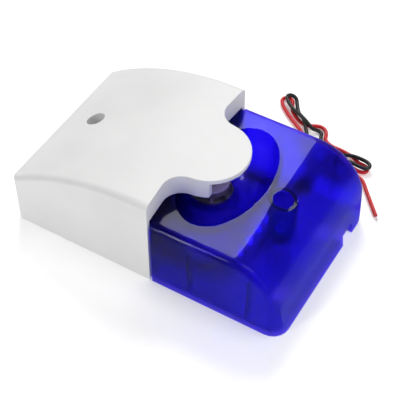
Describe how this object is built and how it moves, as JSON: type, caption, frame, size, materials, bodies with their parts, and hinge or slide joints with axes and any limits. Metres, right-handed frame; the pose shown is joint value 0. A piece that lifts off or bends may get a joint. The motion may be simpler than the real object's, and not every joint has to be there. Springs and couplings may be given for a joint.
{
  "type": "alarm siren",
  "caption": "Wall alarm siren: arched cover over half the body, translucent strobe lens over the rest, sound outlet above an oval dish, thin power leads.",
  "frame": {"origin": "centre of the back face, which lies against the wall; the siren is stored lying on it", "axes": "+Z out of the wall, +X along the length towards the lens end, +Y across the width to the side that the leads leave"},
  "size_m": [0.1298, 0.1211, 0.043],
  "materials": {
    "white_abs": "satin moulded white",
    "blue_lens": "clear-tinted, polished",
    "grey_abs": "moulded grey",
    "steel": "bright zinc plate",
    "brass": "rolled sheet",
    "ceramic": "fired, silvered",
    "foam": "closed-cell foam",
    "board": "solder-masked laminate",
    "ferrite": "sintered dark grey",
    "copper": "enamelled wire",
    "black_plastic": "moulded epoxy",
    "lamp": "clear epoxy",
    "resistor": "lacquered",
    "sleeve": "shrunk sleeve",
    "red_pvc": "soft insulation",
    "black_pvc": "soft insulation",
    "rubber": "moulded rubber",
    "tin": "tinned strands"
  },
  "bodies": {
    "base": {"back_plate": "white_abs", "horn_nose": "white_abs", "board_screw_1": "steel", "board_screw_2": "steel", "board_screw_3": "steel", "board_screw_4": "steel", "lamp_board_screw_1": "steel", "lamp_board_screw_2": "steel", "horn_screw_1": "steel", "horn_screw_2": "steel", "sounder_cap": "grey_abs", "horn_body": "grey_abs", "sounder_disc": "brass", "sounder_ceramic": "ceramic", "horn_gasket": "foam", "main_board": "board", "lamp_board": "board", "coil_core": "ferrite", "coil_winding": "copper", "driver_chip": "black_plastic", "driver_transistor": "black_plastic", "flyback_diode": "black_plastic", "capacitor": "sleeve", "resistor_1": "resistor", "resistor_2": "resistor", "resistor_3": "resistor", "strobe_lamp_1": "lamp", "strobe_lamp_2": "lamp", "strobe_lamp_3": "lamp", "strobe_lamp_4": "lamp", "strobe_lamp_5": "lamp", "strobe_lamp_6": "lamp", "red_lead": "red_pvc", "inner_red_lead": "red_pvc", "lamp_lead_1": "red_pvc", "sounder_lead_1": "red_pvc", "black_lead": "black_pvc", "inner_black_lead": "black_pvc", "lamp_lead_2": "black_pvc", "sounder_lead_2": "black_pvc", "outlet_bush": "rubber", "red_lead_tip": "tin", "black_lead_tip": "tin"},
    "lens": {"blue_lens": "blue_lens"},
    "cover": {"white_cover": "white_abs"},
    "cover_screw": {"cover_screw": "steel"},
    "lens_screw": {"lens_screw": "steel"}
  },
  "joints": [
    {"name": "lens_lift", "type": "slide", "parent": "base", "child": "lens", "axis": [0, 0, 1], "range_m": [0, 0.06]},
    {"name": "cover_lift", "type": "slide", "parent": "lens", "child": "cover", "axis": [0, 0, 1], "range_m": [0, 0.06]},
    {"name": "cover_screw_out", "type": "slide", "parent": "cover", "child": "cover_screw", "axis": [0, 0, 1], "range_m": [0, 0.032]},
    {"name": "lens_screw_out", "type": "slide", "parent": "lens", "child": "lens_screw", "axis": [0, 0, 1], "range_m": [0, 0.032]}
  ]
}
